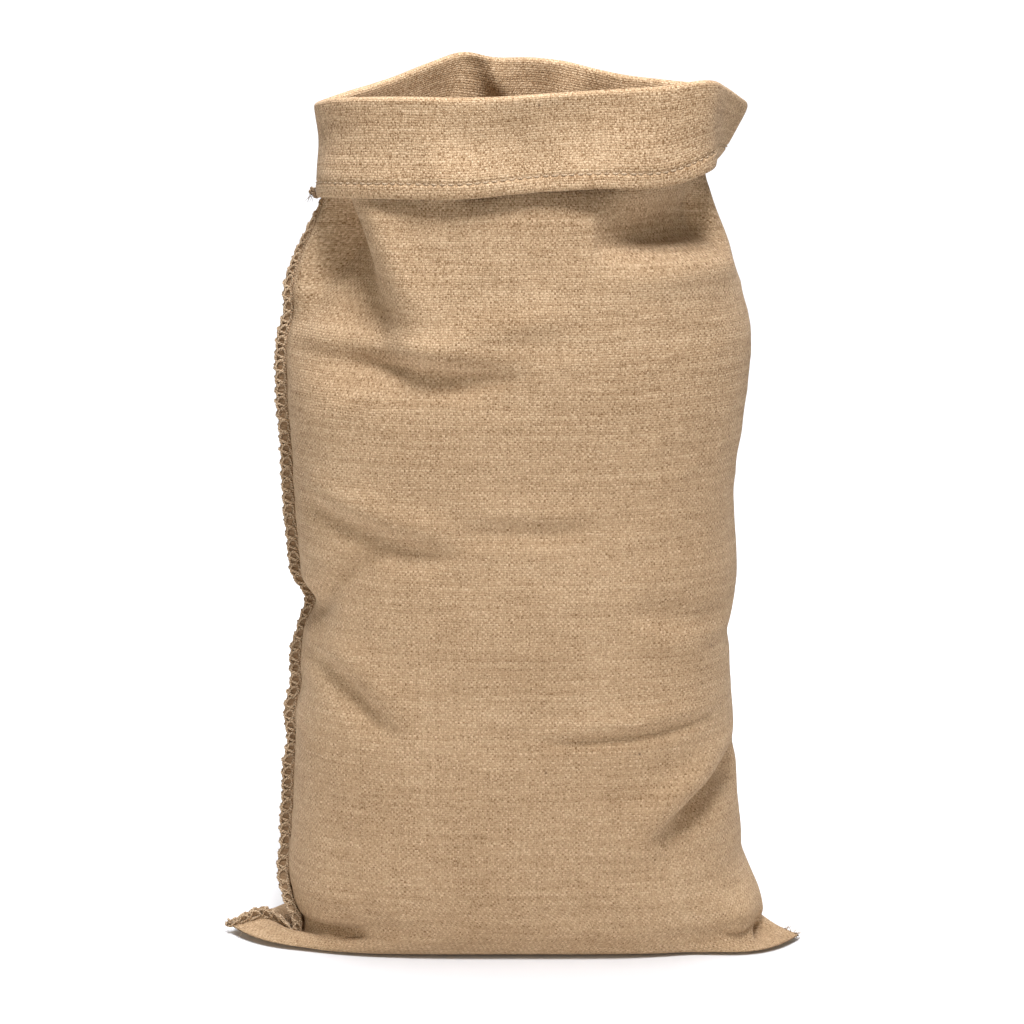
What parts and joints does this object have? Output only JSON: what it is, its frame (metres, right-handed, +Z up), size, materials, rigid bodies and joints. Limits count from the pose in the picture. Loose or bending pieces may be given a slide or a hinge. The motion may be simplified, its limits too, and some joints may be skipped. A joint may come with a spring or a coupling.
{
  "type": "burlap sack",
  "caption": "Open burlap sack standing upright, mouth turned down outwards in a hemmed cuff, one side seam and two corner ears at the foot.",
  "frame": {"origin": "centre of the sack's box on the floor it stands on", "axes": "+Z up through the mouth, +X towards the folded side (the seam is at -X), -Y towards the front"},
  "size_m": [0.597, 0.2661, 0.91],
  "materials": {
    "burlap": "plain-weave jute, matte, undyed tan"
  },
  "bodies": {
    "root": {"sack_cloth": "burlap"}
  },
  "joints": []
}
